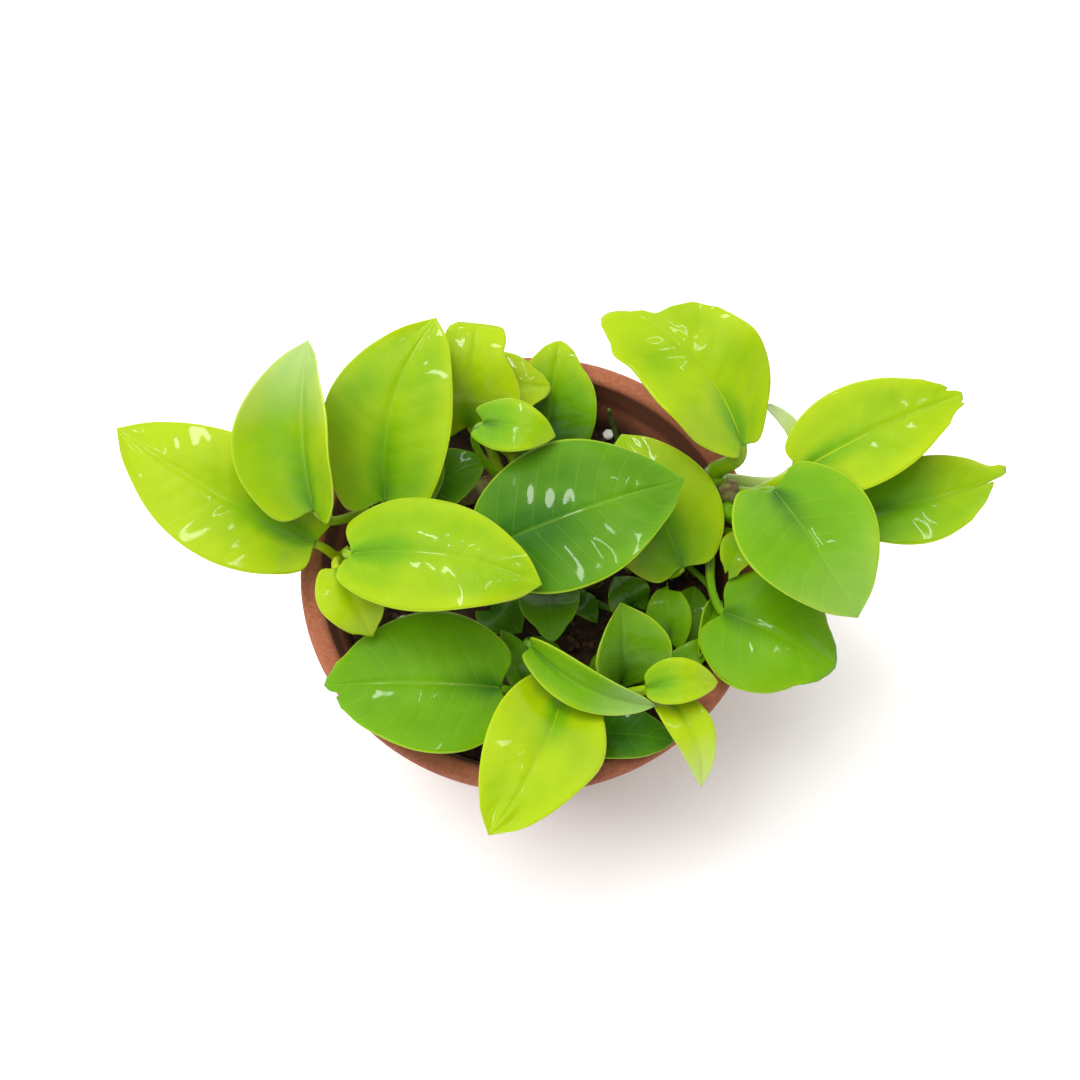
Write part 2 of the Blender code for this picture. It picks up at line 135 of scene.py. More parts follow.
# The pot: red earthenware thrown on a wheel and fired without a glaze. It is one piece with a
# straight tapered wall, a rolled lip, three drain holes and a foot that stands flat.
class Tone:
    """A value inside a finish. Sums on it add Math nodes, and node() adds any other node."""

    def __init__(self, tree, socket=None):
        self.tree = tree
        self.socket = socket

    def node(self, kind, settings, inputs, out=0):
        """Adds a node: first its settings, then the values or links of its sockets."""
        new = self.tree.nodes.new("ShaderNode" + kind)
        for key, value in settings.items():
            if key == "stops":
                for place, color in value[2:]:
                    new.color_ramp.elements.new(place)
                for element, (place, color) in zip(new.color_ramp.elements, value):
                    element.position = place
                    element.color = (*color, 1)
            else:
                setattr(new, key, value)
        for key, value in inputs.items():
            if isinstance(value, Tone):
                self.tree.links.new(value.socket, new.inputs[key])
            else:
                new.inputs[key].default_value = value
        return Tone(self.tree, new.outputs[out])

    def math(self, operation, first, second=0.0):
        return self.node("Math", {"operation": operation}, {0: first, 1: second})

    def __add__(self, other):
        return self.math("ADD", self, other)

    def __radd__(self, other):
        return self.math("ADD", other, self)

    def __sub__(self, other):
        return self.math("SUBTRACT", self, other)

    def __rsub__(self, other):
        return self.math("SUBTRACT", other, self)

    def __mul__(self, other):
        return self.math("MULTIPLY", self, other)

    def __rmul__(self, other):
        return self.math("MULTIPLY", other, self)

    def __pow__(self, other):
        return self.math("POWER", self, other)

    def __abs__(self):
        return self.math("ABSOLUTE", self)

    def step(self, start, end):
        """0 before start, 1 after end, smooth between."""
        return self.node("MapRange", {"interpolation_type": "SMOOTHSTEP"},
                         {"Value": self, "From Min": start, "From Max": end})

    def blend(self, low, high):
        """The colour low where this is 0, high where it is 1."""
        colors = [c if isinstance(c, Tone) else (*c, 1) for c in (low, high)]
        return self.node("Mix", {"data_type": "RGBA"}, {0: self, 6: colors[0], 7: colors[1]}, 2)


def new_finish(name, **constants):
    """A finish: its material, a Tone to start from, and its object coordinates."""
    material = bpy.data.materials.new(name)
    material.use_nodes = True
    shader = material.node_tree.nodes["Principled BSDF"]
    for socket, value in constants.items():
        shader.inputs[socket.replace("_", " ")].default_value = value
    start = Tone(material.node_tree)
    place = start.node("TexCoord", {}, {}, "Object")
    return material, shader, start, place


def speckle(start, place, size, detail=3.0, roughness=0.55):
    """Noise whose patches are about size metres wide."""
    return start.node("TexNoise", {}, {"Vector": place, "Scale": 1 / size, "Detail": detail,
                                       "Roughness": roughness}, "Fac")


def dress(material, shader, **links):
    """Links worked-out values to the shader's own sockets."""
    for socket, tone in links.items():
        material.node_tree.links.new(tone.socket, shader.inputs[socket.replace("_", " ")])


clay, clay_shader, start, place = new_finish("unglazed_terracotta", Roughness=0.85)
axes = start.node("SeparateXYZ", {}, {0: place}, "X")
x = Tone(axes.tree, axes.socket.node.outputs["X"])
y = Tone(axes.tree, axes.socket.node.outputs["Y"])
z = Tone(axes.tree, axes.socket.node.outputs["Z"])
radius = (x * x + y * y) ** 0.5
cloud = speckle(start, place, 0.022, 4.0)
grain = speckle(start, place, 0.0011, 4.0, 0.7)
wall_middle = z * (0.024 / 0.095) + 0.043
inside = (wall_middle - radius).step(-0.0012, 0.0012) * (1 - z.step(0.0925, 0.0945))
# Low on the inner wall, near the soil, the clay is darker and less rough: partly damp clay, partly painted
# shade deep in the pot.
damp_and_shade = inside * (1 - (z + (cloud - 0.5) * 0.008).step(0.0765, 0.0845))
# Painted shadow: a dark strip at the top of the inner wall, just under the lip, where the rim and the leaves
# cast their shadow.
painted_rim_shadow = inside * (z + (cloud - 0.5) * 0.004).step(0.0845, 0.0885)
bloom = (1 - inside) * (1 - z.step(0.002, 0.030)) * cloud.step(0.45, 0.65)
body = cloud.step(0.3, 0.7).blend((0.20, 0.058, 0.025), (0.25, 0.080, 0.038))
body = (grain.step(0.35, 0.7) * 0.35).blend(body, (0.42, 0.165, 0.095))
body = (grain.step(0.62, 0.75) * 0.30).blend(body, (0.14, 0.042, 0.022))
body = (bloom * 0.35).blend(body, (0.50, 0.36, 0.29))
body = (painted_rim_shadow * 0.75).blend(body, (0.055, 0.018, 0.011))
body = (damp_and_shade * 0.85).blend(body, (0.028, 0.011, 0.007))
rings = start.node("TexWave", {"wave_type": "BANDS", "bands_direction": "Z"},
                   {"Vector": place, "Scale": 70.0, "Distortion": 1.2, "Detail": 2.0}, "Fac")
dent = start.node("Bump", {}, {"Strength": 0.35, "Distance": 0.0004,
                               "Height": grain * 0.7 + rings * 0.25 + cloud * 0.4}, "Normal")
dress(clay, clay_shader, Base_Color=body, Roughness=0.92 - damp_and_shade * 0.3, Normal=dent)

lip_radius = 0.070
lip_height = rim_centre.z
foot_radius = 0.046
clay_wall = 0.0065
foot_thickness = 0.008
lip_round = 0.0021
drain_radius = 0.005
drain_ring = 0.022  # from the pot's axis to the middle of each drain hole
drains = 3


def wall_radius(height):
    """The outer wall's radius at a height."""
    return foot_radius + (lip_radius - foot_radius) * height / lip_height


outline = [(foot_radius - 0.0012, 0.0), (foot_radius - 0.0003, 0.0004), (foot_radius + 0.0002, 0.0016)]
outline += [(wall_radius(lip_height * share), lip_height * share) for share in np.linspace(0.05, 0.93, 34)]
for turn in np.linspace(0, 90, 7):
    outline.append((lip_radius - lip_round * (1 - math.cos(math.radians(turn))),
                    lip_height - lip_round * (1 - math.sin(math.radians(turn)))))
inner_lip = lip_radius - clay_wall
for turn in np.linspace(90, 180, 7):
    outline.append((inner_lip + lip_round * (1 + math.cos(math.radians(turn))),
                    lip_height - lip_round * (1 - math.sin(math.radians(turn)))))
outline += [(wall_radius(lip_height * share) - clay_wall, lip_height * share)
            for share in np.linspace(0.95, foot_thickness / lip_height + 0.02, 34)]
outline.append((wall_radius(foot_thickness) - clay_wall - 0.0015, foot_thickness))

bpy.ops.mesh.primitive_circle_add(vertices=144, radius=outline[0][0], location=(0, 0, outline[0][1]))
pot = bpy.context.object
pot.name = "terracotta_pot"
bpy.ops.object.transform_apply(location=True)
bpy.ops.object.mode_set(mode="EDIT")
bpy.ops.mesh.select_all(action="SELECT")
bpy.ops.mesh.edge_face_add()
bpy.ops.mesh.select_all(action="SELECT")
for (old_radius, old_z), (new_radius, new_z) in zip(outline, outline[1:]):
    bpy.ops.mesh.extrude_region_move(TRANSFORM_OT_translate={"value": (0, 0, new_z - old_z)})
    ratio = new_radius / old_radius
    bpy.ops.transform.resize(value=(ratio, ratio, 1))
bpy.ops.object.mode_set(mode="OBJECT")
bm = bmesh.new()
bm.from_mesh(pot.data)
bmesh.ops.recalc_face_normals(bm, faces=bm.faces[:])
for vert in bm.verts:
    around = math.atan2(vert.co.y, vert.co.x)
    throw = 0.00010 * math.sin(vert.co.z * 900 + 0.8 * around) + 0.00025 * math.sin(2 * around + 0.7)
    spread = 1 + throw / lip_radius
    vert.co.x *= spread
    vert.co.y *= spread
bm.to_mesh(pot.data)
bm.free()
for hole in range(drains):
    turn = 2 * math.pi * (hole + 0.25) / drains
    bpy.ops.mesh.primitive_cylinder_add(
        vertices=40, radius=drain_radius, depth=0.03,
        location=(drain_ring * math.cos(turn), drain_ring * math.sin(turn), 0))
    punch = bpy.context.object
    cut = pot.modifiers.new("drain", "BOOLEAN")
    cut.object = punch
    bpy.ops.object.select_all(action="DESELECT")
    bpy.context.view_layer.objects.active = pot
    pot.select_set(True)
    bpy.ops.object.modifier_apply(modifier="drain")
    bpy.data.objects.remove(punch)
pot.data.shade_smooth()
pot.data.set_sharp_from_angle(angle=math.radians(38))
pot.data.materials.append(clay)
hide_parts("pot")
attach(pot, "root")


# The soil: a dark, damp peat mix pressed into the pot by hand, lumpy on top, with crumbs of
# bark and fibre lying loose on it.
earth, earth_shader, start, place = new_finish("damp_peat", Roughness=0.95)
lumps = speckle(start, place, 0.004, 6.0, 0.7)
fibres = speckle(start, place, 0.0009, 4.0, 0.75)
peat = lumps.step(0.35, 0.68).blend((0.012, 0.0065, 0.004), (0.055, 0.028, 0.015))
peat = (fibres.step(0.62, 0.72) * 0.7).blend(peat, (0.13, 0.075, 0.04))
crumble = start.node("Bump", {}, {"Strength": 0.9, "Distance": 0.0012,
                                  "Height": lumps + fibres * 0.5}, "Normal")
dress(earth, earth_shader, Base_Color=peat, Normal=crumble, Roughness=0.75 + fibres * 0.25)

soil_low, soil_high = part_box("soil")
soil_top = soil_high.z
soil_radius = soil_high.x - 0.0001
soil_foot_radius = wall_radius(soil_low.z) - clay_wall - 0.0003
bpy.ops.mesh.primitive_grid_add(x_subdivisions=110, y_subdivisions=110, size=2, location=(0, 0, 0))
soil = bpy.context.object
soil.name = "potting_soil"
bm = bmesh.new()
bm.from_mesh(soil.data)
for vert in bm.verts:
    flat_x, flat_y = vert.co.x, vert.co.y
    vert.co.x = soil_radius * flat_x * math.sqrt(1 - flat_y * flat_y / 2)
    vert.co.y = soil_radius * flat_y * math.sqrt(1 - flat_x * flat_x / 2)
    edge_fade = min(1, 12 * (1 - math.hypot(vert.co.x, vert.co.y) / soil_radius))
    rough = noise.fractal(Vector((vert.co.x, vert.co.y, 0.3)) * 170, 0.7, 2.1, 5)
    vert.co.z = soil_top - 0.0009 + edge_fade * 0.0013 * rough
bm.to_mesh(soil.data)
bm.free()
bpy.ops.object.mode_set(mode="EDIT")
bpy.ops.mesh.select_mode(type="EDGE")
bpy.ops.mesh.select_all(action="DESELECT")
bpy.ops.mesh.select_non_manifold()
bpy.ops.mesh.extrude_region_move(TRANSFORM_OT_translate={"value": (0, 0, soil_low.z - soil_top + 0.0009)})
shrink = soil_foot_radius / soil_radius
bpy.ops.transform.resize(value=(shrink, shrink, 1))
bpy.ops.mesh.edge_face_add()
bpy.ops.mesh.select_all(action="SELECT")
bpy.ops.mesh.normals_make_consistent(inside=False)
bpy.ops.object.mode_set(mode="OBJECT")
soil.data.shade_smooth()
soil.data.materials.append(earth)
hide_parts("soil")
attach(soil, "root")


def merged_copy(node, name):
    """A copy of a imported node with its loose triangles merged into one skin."""
    copy = frame["nodes"][node].copy()
    copy.data = copy.data.copy()
    copy.name = name
    bpy.context.scene.collection.objects.link(copy)
    for key in list(copy.keys()):
        del copy[key]
    copy.parent = None
    copy.hide_render = False
    bm = bmesh.new()
    bm.from_mesh(copy.data)
    bmesh.ops.remove_doubles(bm, verts=bm.verts[:], dist=1e-6)
    bm.to_mesh(copy.data)
    bm.free()
    return copy


def swell(piece, amount):
    """Moves each point of a piece out along its normal by amount(point)."""
    count = len(piece.data.vertices)
    points = np.zeros(3 * count)
    piece.data.vertices.foreach_get("co", points)
    points = points.reshape(-1, 3)
    outward = np.zeros(3 * count, np.float32)
    piece.data.vertex_normals.foreach_get("vector", outward)
    moves = np.array([amount(Vector(point)) for point in points])
    points = points + outward.reshape(-1, 3) * moves[:, None]
    piece.data.vertices.foreach_set("co", points.ravel())
    piece.data.update()


def mesh_piece(name, verts, faces, material):
    """A smooth object from points and faces."""
    mesh = bpy.data.meshes.new(name)
    mesh.from_pydata(verts, [], faces)
    mesh.update()
    mesh.shade_smooth()
    mesh.materials.append(material)
    piece = bpy.data.objects.new(name, mesh)
    bpy.context.scene.collection.objects.link(piece)
    return piece


MM = 0.001
CRUMBS = 620

random.seed(11)
bpy.ops.mesh.primitive_ico_sphere_add(subdivisions=1, radius=1)
lump = bpy.context.object
lump_points = [vert.co.copy() for vert in lump.data.vertices]
lump_faces = [tuple(face.vertices) for face in lump.data.polygons]
bpy.data.objects.remove(lump)
crumb_points = []
crumb_faces = []
for _ in range(CRUMBS):
    away = soil_radius * 0.96 * math.sqrt(random.random())
    around = random.uniform(0, 2 * math.pi)
    size = random.choice((0.5, 0.6, 0.8, 0.8, 1.1, 1.6)) * MM
    stretch = Vector((random.uniform(0.7, 2.2), random.uniform(0.6, 1.1), random.uniform(0.4, 0.8)))
    spin = Matrix.Rotation(random.uniform(0, math.pi), 3, "Z")
    spin = spin @ Matrix.Rotation(random.uniform(-0.4, 0.4), 3, "X")
    seat = Vector((away * math.cos(around), away * math.sin(around), soil_top - 0.0006))
    first = len(crumb_points)
    for point in lump_points:
        dented = point * (1 + 0.25 * random.uniform(-1, 1))
        crumb_points.append(seat + spin @ (dented * stretch * size))
    crumb_faces += [tuple(first + corner for corner in face) for face in lump_faces]
bark, bark_shader, start, place = new_finish("bark_crumbs", Roughness=0.9)
patch = speckle(start, place, 0.003, 2.0)
crust = speckle(start, place, 0.0006, 4.0)
shades = start.node("ValToRGB", {"stops": [(0.35, (0.02, 0.011, 0.007)), (0.62, (0.11, 0.055, 0.028)),
                                           (0.5, (0.045, 0.023, 0.012))]}, {0: patch}, "Color")
flakes = start.node("Bump", {}, {"Strength": 0.7, "Distance": 0.0004, "Height": crust}, "Normal")
dress(bark, bark_shader, Base_Color=shades, Normal=flakes)
crumbs = mesh_piece("bark_crumbs", crumb_points, crumb_faces, bark)
crumbs.data.shade_flat()
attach(crumbs, "root")

# Perlite: puffed white volcanic glass, a few light grains left on top of the soil.
puff, puff_shader, start, place = new_finish("puffed_perlite", Roughness=0.9)
pits = speckle(start, place, 0.0006, 4.0, 0.7)
chalk = pits.step(0.3, 0.6).blend((0.62, 0.59, 0.54), (0.92, 0.91, 0.88))
pitted = start.node("Bump", {}, {"Strength": 0.8, "Distance": 0.0003, "Height": pits}, "Normal")
dress(puff, puff_shader, Base_Color=chalk, Normal=pitted)
for index in range(1, 6):
    grain_piece = merged_copy(f"perlite_{index}", f"perlite_grain_{index}")
    round_off = grain_piece.modifiers.new("round", "SUBSURF")
    round_off.levels = round_off.render_levels = 3
    bpy.ops.object.select_all(action="DESELECT")
    bpy.context.view_layer.objects.active = grain_piece
    grain_piece.select_set(True)
    bpy.ops.object.modifier_apply(modifier="round")
    swell(grain_piece, lambda point: 0.00035 + 0.0003 * noise.fractal(point * 900, 0.6, 2.0, 3))
    grain_piece.data.materials.clear()
    grain_piece.data.materials.append(puff)
    grain_piece.data.shade_smooth()
    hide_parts(f"perlite_{index}")
    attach(grain_piece, "root")


# The rhizomes: creeping stems as thick as a pencil, ringed with the scars of old leaves and
# wrapped in brown papery remains. They lie on the soil, held by roots of their own.
stem, stem_shader, start, place = new_finish("rhizome_bark", Roughness=0.5)
mottle = speckle(start, place, 0.004, 4.0, 0.6)
papery = speckle(start, place, 0.0016, 5.0, 0.7)
bark_tone = mottle.step(0.38, 0.62).blend((0.085, 0.055, 0.018), (0.17, 0.20, 0.035))
bark_tone = (papery.step(0.56, 0.70) * 0.8).blend(bark_tone, (0.045, 0.024, 0.012))
scales = start.node("Bump", {}, {"Strength": 0.6, "Distance": 0.0005, "Height": papery}, "Normal")
dress(stem, stem_shader, Base_Color=bark_tone, Normal=scales, Roughness=0.38 + papery * 0.4)


def apply_all(piece):
    """Applies a piece's modifiers to its mesh."""
    bpy.ops.object.select_all(action="DESELECT")
    bpy.context.view_layer.objects.active = piece
    piece.select_set(True)
    for modifier in list(piece.modifiers):
        bpy.ops.object.modifier_apply(modifier=modifier.name)


for side in ("left", "right", "centre", "front", "back"):
    rhizome = merged_copy(f"rhizome_{side}", f"creeping_stem_{side}")
    smooth = rhizome.modifiers.new("smooth", "SUBSURF")
    smooth.levels = smooth.render_levels = 3
    apply_all(rhizome)
    swell(rhizome, lambda point: 0.0004 + 0.0005 * noise.noise(point * 210)
          + 0.00025 * noise.noise(point * 620))
    rhizome.data.materials.clear()
    rhizome.data.materials.append(stem)
    rhizome.data.shade_smooth()
    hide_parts(f"rhizome_{side}")
    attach(rhizome, "root")


def tube(centres, radii, sides=10):
    """Points and faces of a round tube along some centres, closed at both ends."""
    centres = np.asarray(centres, float)
    heading = np.gradient(centres, axis=0)
    heading /= np.linalg.norm(heading, axis=1)[:, None]
    across = np.cross(heading, (0.31, 0.17, 0.93))
    across /= np.linalg.norm(across, axis=1)[:, None]
    upward = np.cross(across, heading)
    turns = 2 * np.pi * np.arange(sides) / sides
    rings = (centres[:, None] + np.asarray(radii)[:, None, None]
             * (np.cos(turns)[None, :, None] * across[:, None]
                + np.sin(turns)[None, :, None] * upward[:, None]))
    points = [tuple(p) for p in rings.reshape(-1, 3)]
    faces = []
    for i in range(len(centres) - 1):
        for j in range(sides):
            k = (j + 1) % sides
            faces.append((i * sides + j, (i + 1) * sides + j, (i + 1) * sides + k, i * sides + k))
    faces.append(tuple(range(sides)))
    faces.append(tuple(reversed([(len(centres) - 1) * sides + j for j in range(sides)])))
    return points, faces


# Roots: pale brown cords that leave the undersides of the rhizomes and dive into the soil.
random.seed(4)
root_limit = wall_radius(soil_top) - clay_wall - 0.002  # roots turn along the wall, short of it
root_points = []
root_faces = []
for side in ("left", "right", "centre", "front", "back"):
    low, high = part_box(f"rhizome_{side}")
    for _ in range(9):
        t = random.uniform(0.1, 0.75)
        foot = low.lerp(high, t)
        foot.y = random.uniform(low.y + 0.003, high.y - 0.003)
        foot.z = soil_top + 0.0022
        turn = random.uniform(0, 2 * math.pi)
        reach = random.uniform(0.006, 0.015)
        path = []
        for step in range(9):
            s = step / 8
            wobble = 0.0012 * math.sin(5 * s + turn)
            root_x = foot.x + reach * s * math.cos(turn) - wobble * math.sin(turn)
            root_y = foot.y + reach * s * math.sin(turn) + wobble * math.cos(turn)
            inward = min(1.0, root_limit / math.hypot(root_x, root_y))
            path.append((root_x * inward, root_y * inward,
                         foot.z + 0.0016 * math.sin(math.pi * s) - 0.0042 * s * s))
        points, faces = tube(path, [0.00055 * (1 - 0.5 * step / 8) for step in range(9)], 8)
        first = len(root_points)
        root_points += points
        root_faces += [tuple(first + corner for corner in face) for face in faces]
root_skin, root_shader, start, place = new_finish("root_skin", Roughness=0.8)
root_spots = speckle(start, place, 0.0012, 3.0)
root_tone = root_spots.step(0.3, 0.7).blend((0.075, 0.038, 0.018), (0.20, 0.12, 0.06))
root_bump = start.node("Bump", {}, {"Strength": 0.5, "Distance": 0.0003, "Height": root_spots}, "Normal")
dress(root_skin, root_shader, Base_Color=root_tone, Normal=root_bump)
roots = mesh_piece("soil_roots", root_points, root_faces, root_skin)
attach(roots, "root")


# The leaves: leathery, glossy blades, each grown on a fleshy stalk that runs on under it as its
# midrib. Side veins sweep forward to the margin, and the skin is drawn down along them. The
# material is golden green, deeper by the base and on older leaves, with painted shade darkening
# the leaves that lie low in the pot and under others, and a thin bright margin that is partly
# the blade's paler edge and partly a painted highlight.
skin, skin_shader, start, place = new_finish(
    "leaf_skin", Coat_Roughness=0.05, Coat_IOR=1.4, Specular_IOR_Level=0.2,
    Subsurface_Weight=0.12, Subsurface_Radius=(0.8, 1.0, 0.15), Subsurface_Scale=0.0012)
along = start.node("Attribute", {"attribute_name": "along"}, {}, "Fac")
across = start.node("Attribute", {"attribute_name": "across"}, {}, "Fac")
rib = start.node("Attribute", {"attribute_name": "rib"}, {}, "Fac")
deep = start.node("Attribute", {"attribute_name": "deep"}, {}, "Fac")
below = start.node("Attribute", {"attribute_name": "below"}, {}, "Fac")
blade = start.node("Attribute", {"attribute_name": "blade"}, {}, "Fac")
pale = start.node("Attribute", {"attribute_name": "pale"}, {}, "Fac")
from_rib = abs(rib - start.node("Math", {"operation": "ROUND"}, {0: rib}))
to_margin = abs(across)
wash = speckle(start, place, 0.030, 2.0, 0.5)
blotch = speckle(start, place, 0.009, 3.0, 0.6)
cells = speckle(start, place, 0.0007, 3.0, 0.6)
ripple = speckle(start, place, 0.0032, 2.0, 0.55)
near_midrib = 1 - to_margin.step(0.0, 0.42)
near_base = 1 - along.step(0.0, 0.55)
# Each leaf's darkness: its deep mark, which holds its age and, on leaves low in the pot, painted shade, with
# patches, darker by the midrib near the base and lighter towards the margin.
age_and_shade = (deep + (wash - 0.5) * 0.45 + (blotch - 0.5) * 0.16 + near_midrib * near_base * 0.38
       - to_margin.step(0.55, 1.0) * 0.12)
young = age_and_shade.step(0.0, 0.45).blend((0.250, 0.355, 0.0), (0.095, 0.240, 0.0))
green = age_and_shade.step(0.35, 1.0).blend(young, (0.018, 0.088, 0.001))
veins = (1 - from_rib.step(0.0, 0.05)) * blade * to_margin.step(0.02, 0.10) * (1 - to_margin.step(0.75, 0.95))
green = (veins * 0.10).blend(green, (0.30, 0.42, 0.03))
midline = (1 - to_margin.step(0.006, 0.030)) * blade
green = (midline * 0.15).blend(green, (0.26, 0.38, 0.02))
# A thin bright margin: partly the blade's paler edge, partly a painted highlight along its rounded edge.
margin = to_margin.step(0.965, 0.992) * blade
green = (margin * 0.5).blend(green, (0.34, 0.46, 0.004))
green = (pale * 0.85).blend(green, (0.50, 0.58, 0.34))
green = (below * 0.45).blend(green, (0.19, 0.31, 0.03))
scar = blotch.step(0.72, 0.76) * (1 - wash.step(0.40, 0.46)) * blade
green = (scar * 0.4).blend(green, (0.16, 0.20, 0.03))
relief = start.node("Bump", {}, {"Strength": 0.16, "Distance": 0.0004,
                                 "Height": cells * 0.2 - veins * 0.4 + blotch * 2.2 + ripple * 2.4}, "Normal")
dress(skin, skin_shader, Base_Color=green, Normal=relief,
      Roughness=0.42 + (blotch - 0.5) * 0.25 + below * 0.2, Coat_Weight=0.36 - below * 0.3)

# How dark each leaf is at its base and at its tip, from 0, new and golden, to 1, dark: its age,
# and on leaves low in the pot or under others, such as the inner ones, painted shade as well
LEAF_AGE_AND_SHADE = {
    "far_left": (0.20, 0.02), "left_upright": (0.30, 0.20), "left_heart": (0.38, 0.14),
    "left_ovate": (0.26, 0.16), "left_small": (0.10, 0.02), "left_shaded": (0.60, 0.45),
    "back_right_torn": (0.30, 0.12), "new_sheath": (0.10, 0.05), "right_torn": (0.22, 0.08),
    "far_right_split": (0.45, 0.16), "right_heart": (0.50, 0.42), "right_lower": (0.52, 0.34),
    "right_edge": (0.55, 0.50), "right_jagged": (0.35, 0.30), "centre_broad": (0.90, 0.62),
    "centre_right": (0.34, 0.18), "inner_round": (0.80, 0.55), "inner_left": (0.80, 0.65),
    "inner_small": (0.85, 0.70), "inner_low": (0.85, 0.70), "inner_right": (0.60, 0.35),
    "inner_shaded": (0.75, 0.60), "rim_shaded": (0.60, 0.50), "inner_cupped": (0.62, 0.38),
    "front_curled": (0.36, 0.50), "front": (0.20, 0.02), "front_dark": (0.98, 0.88),
    "front_left_broad": (0.58, 0.44), "front_narrow": (0.65, 0.55), "front_slim": (0.62, 0.50),
    "front_right_upper": (0.34, 0.12), "front_right_hanging": (0.08, 0.02),
    "back_folded": (0.12, 0.04), "back_lobe": (0.16, 0.06), "back_dark": (0.98, 0.05),
    "curled_flap": (0.45, 0.18), "inner_back": (0.80, 0.65),
}
# How bleached each new leaf is at its base and at its tip
BLEACHED = {
    "new_sheath": (0.35, 1.0), "left_upright": (0.0, 0.45), "front_right_hanging": (0.0, 0.4),
    "front_curled": (0.0, 0.3), "right_heart": (0.0, 0.15),
}
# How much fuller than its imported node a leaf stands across
FULLER = {"back_dark": 1.12, "back_lobe": 1.15, "back_folded": 1.15, "left_heart": 1.05}
# Rolled leaves stand open flat, this far to each side of their midrib
OPENED = {"new_sheath": 2.6 * MM}
# Leaves whose tip is round, not drawn to a point
PLAIN_TIPS = ("right_lower", "back_lobe", "back_dark", "inner_round")
# Leaves whose base hardly reaches back past the stalk
SMALL_LOBES = ("back_right_torn", "far_left")
# Leaves that lie close over a neighbour keep nearer to an even surface, by this share
CALM = {"right_heart": 0.2, "right_torn": 0.2, "inner_back": 0.3, "left_shaded": 0.2,
        "front_curled": 0.2, "front_right_upper": 0.2, "centre_right": 0.3, "right_jagged": 0.2,
        "inner_right": 0.2, "rim_shaded": 0.1, "inner_cupped": 0.2}
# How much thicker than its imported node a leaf's stalk is
THICK_STALKS = {"back_right_torn": 1.35, "right_torn": 1.3, "new_sheath": 1.5, "right_heart": 1.15}
# A round end, as the torn ends below: across the blade, how far it reaches
ROUND_END = ((-1, 0.74), (-0.85, 0.84), (-0.6, 0.93), (-0.3, 0.98), (0, 1.0), (0.3, 0.98),
             (0.6, 0.93), (0.85, 0.84), (1, 0.74))
# Torn ends: across the blade, from its right margin at -1 to its left at 1, how far it reaches
TORN_ENDS = {
    "back_right_torn": ((-1, 0.76), (-0.8, 0.88), (-0.5, 0.94), (-0.24, 0.96), (-0.18, 1.03), (0.0, 1.07),
                        (0.15, 1.12), (0.32, 1.15), (0.52, 1.15), (0.72, 1.11), (0.88, 1.04), (1, 0.94)),
    "right_torn": ((-1, 0.86), (-0.72, 0.93), (-0.60, 1.0), (-0.45, 0.975), (-0.3, 1.0), (0.1, 1.01),
                   (0.3, 0.985), (0.42, 0.93), (0.55, 0.95), (0.8, 0.92), (1, 0.84)),
    "far_right_split": ((-1, 0.66), (-0.9, 0.72), (-0.8, 0.80), (-0.5, 0.87), (-0.2, 0.90), (-0.12, 0.86),
                        (-0.08, 0.68), (-0.04, 0.95), (0.1, 1.0), (0.7, 1.01), (1, 0.97)),
    "front_left_broad": ((-1, 0.93), (-0.4, 0.985), (0.0, 1.0), (0.3, 0.97), (0.42, 0.90), (0.6, 0.93),
                         (1, 0.90)),
    "left_small": ((-1, 0.86), (-0.3, 0.96), (0.2, 1.0), (0.7, 0.93), (1, 0.85)),
    "back_folded": ((-1, 0.99), (-0.8, 1.0), (0.8, 1.0), (1, 0.97)),
    "inner_right": ((-1, 0.80), (-0.1, 0.85), (0.0, 1.0), (0.25, 0.90), (1, 0.85)),
    "right_jagged": ((-1, 0.75), (-0.3, 0.92), (-0.1, 0.84), (0.3, 1.0), (1, 0.88)),
    "back_lobe": ROUND_END, "back_dark": ROUND_END, "inner_round": ROUND_END, "right_lower": ROUND_END,
}


def catmull(stations, values, wanted):
    """A smooth curve through values at stations, read at the wanted places."""
    stations = np.asarray(stations, float)
    values = np.asarray(values, float)
    slopes = np.gradient(values, stations, axis=0)
    index = np.clip(np.searchsorted(stations, wanted, side="right") - 1, 0, len(stations) - 2)
    width = stations[index + 1] - stations[index]
    s = (wanted - stations[index]) / width
    shape = (-1,) + (1,) * (values.ndim - 1)
    s, width = s.reshape(shape), width.reshape(shape)
    return ((2 * s ** 3 - 3 * s ** 2 + 1) * values[index] + (s ** 3 - 2 * s ** 2 + s) * width * slopes[index]
            + (3 * s ** 2 - 2 * s ** 3) * values[index + 1] + (s ** 3 - s ** 2) * width * slopes[index + 1])


